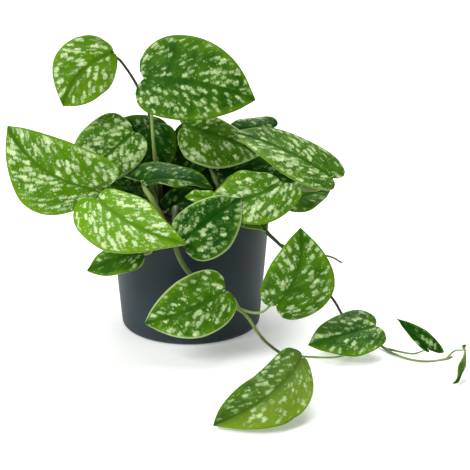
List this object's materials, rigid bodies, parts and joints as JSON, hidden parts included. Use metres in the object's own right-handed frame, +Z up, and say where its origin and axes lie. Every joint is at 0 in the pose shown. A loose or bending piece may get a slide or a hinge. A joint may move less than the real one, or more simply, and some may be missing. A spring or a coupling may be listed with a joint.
{
  "type": "potted trailing plant",
  "caption": "Potted satin pothos with heart-shaped, silver-blotched leaves on stalks, with stems that trail over the rim of a plain round pot.",
  "frame": {"origin": "middle of the pot's base, on the surface that it stands on", "axes": "+Z up; -Y towards the viewer of the picture; +X to the viewer's right, where one trailing stem lies"},
  "size_m": [0.3198, 0.299, 0.2195],
  "materials": {
    "leaf": "satin",
    "stem": "satin",
    "plastic": "satin-matte",
    "soil": "rough"
  },
  "bodies": {
    "root": {"leaf_back_centre": "leaf", "leaf_back_hanging": "leaf", "leaf_back_high": "leaf", "leaf_back_left": "leaf", "leaf_back_left_high": "leaf", "leaf_back_right": "leaf", "leaf_back_right_high": "leaf", "leaf_back_right_low": "leaf", "leaf_back_rim_left": "leaf", "leaf_back_rim_right": "leaf", "leaf_centre_tilted": "leaf", "leaf_centre_upper": "leaf", "leaf_centre_young": "leaf", "leaf_folded_right": "leaf", "leaf_front_centre": "leaf", "leaf_front_left": "leaf", "leaf_front_right": "leaf", "leaf_hanging_front": "leaf", "leaf_hanging_right": "leaf", "leaf_inner_back": "leaf", "leaf_inner_centre": "leaf", "leaf_inner_left": "leaf", "leaf_inner_low_left": "leaf", "leaf_inner_low_right": "leaf", "leaf_inner_right": "leaf", "leaf_inner_shaded": "leaf", "leaf_inner_upper": "leaf", "leaf_left_low": "leaf", "leaf_left_outer": "leaf", "leaf_left_upper": "leaf", "leaf_lying_front": "leaf", "leaf_lying_right": "leaf", "leaf_right_behind": "leaf", "leaf_right_lower": "leaf", "leaf_right_outer": "leaf", "leaf_rim_left": "leaf", "leaf_rim_right": "leaf", "leaf_top_large": "leaf", "leaf_top_left": "leaf", "leaf_vine_end": "leaf", "pot": "plastic", "soil": "soil", "stem_back": "stem", "stem_back_left": "stem", "stem_back_right": "stem", "stem_centre": "stem", "stem_front": "stem", "stem_left": "stem", "stem_right": "stem", "stem_right_upper": "stem", "stem_top": "stem"}
  },
  "joints": []
}
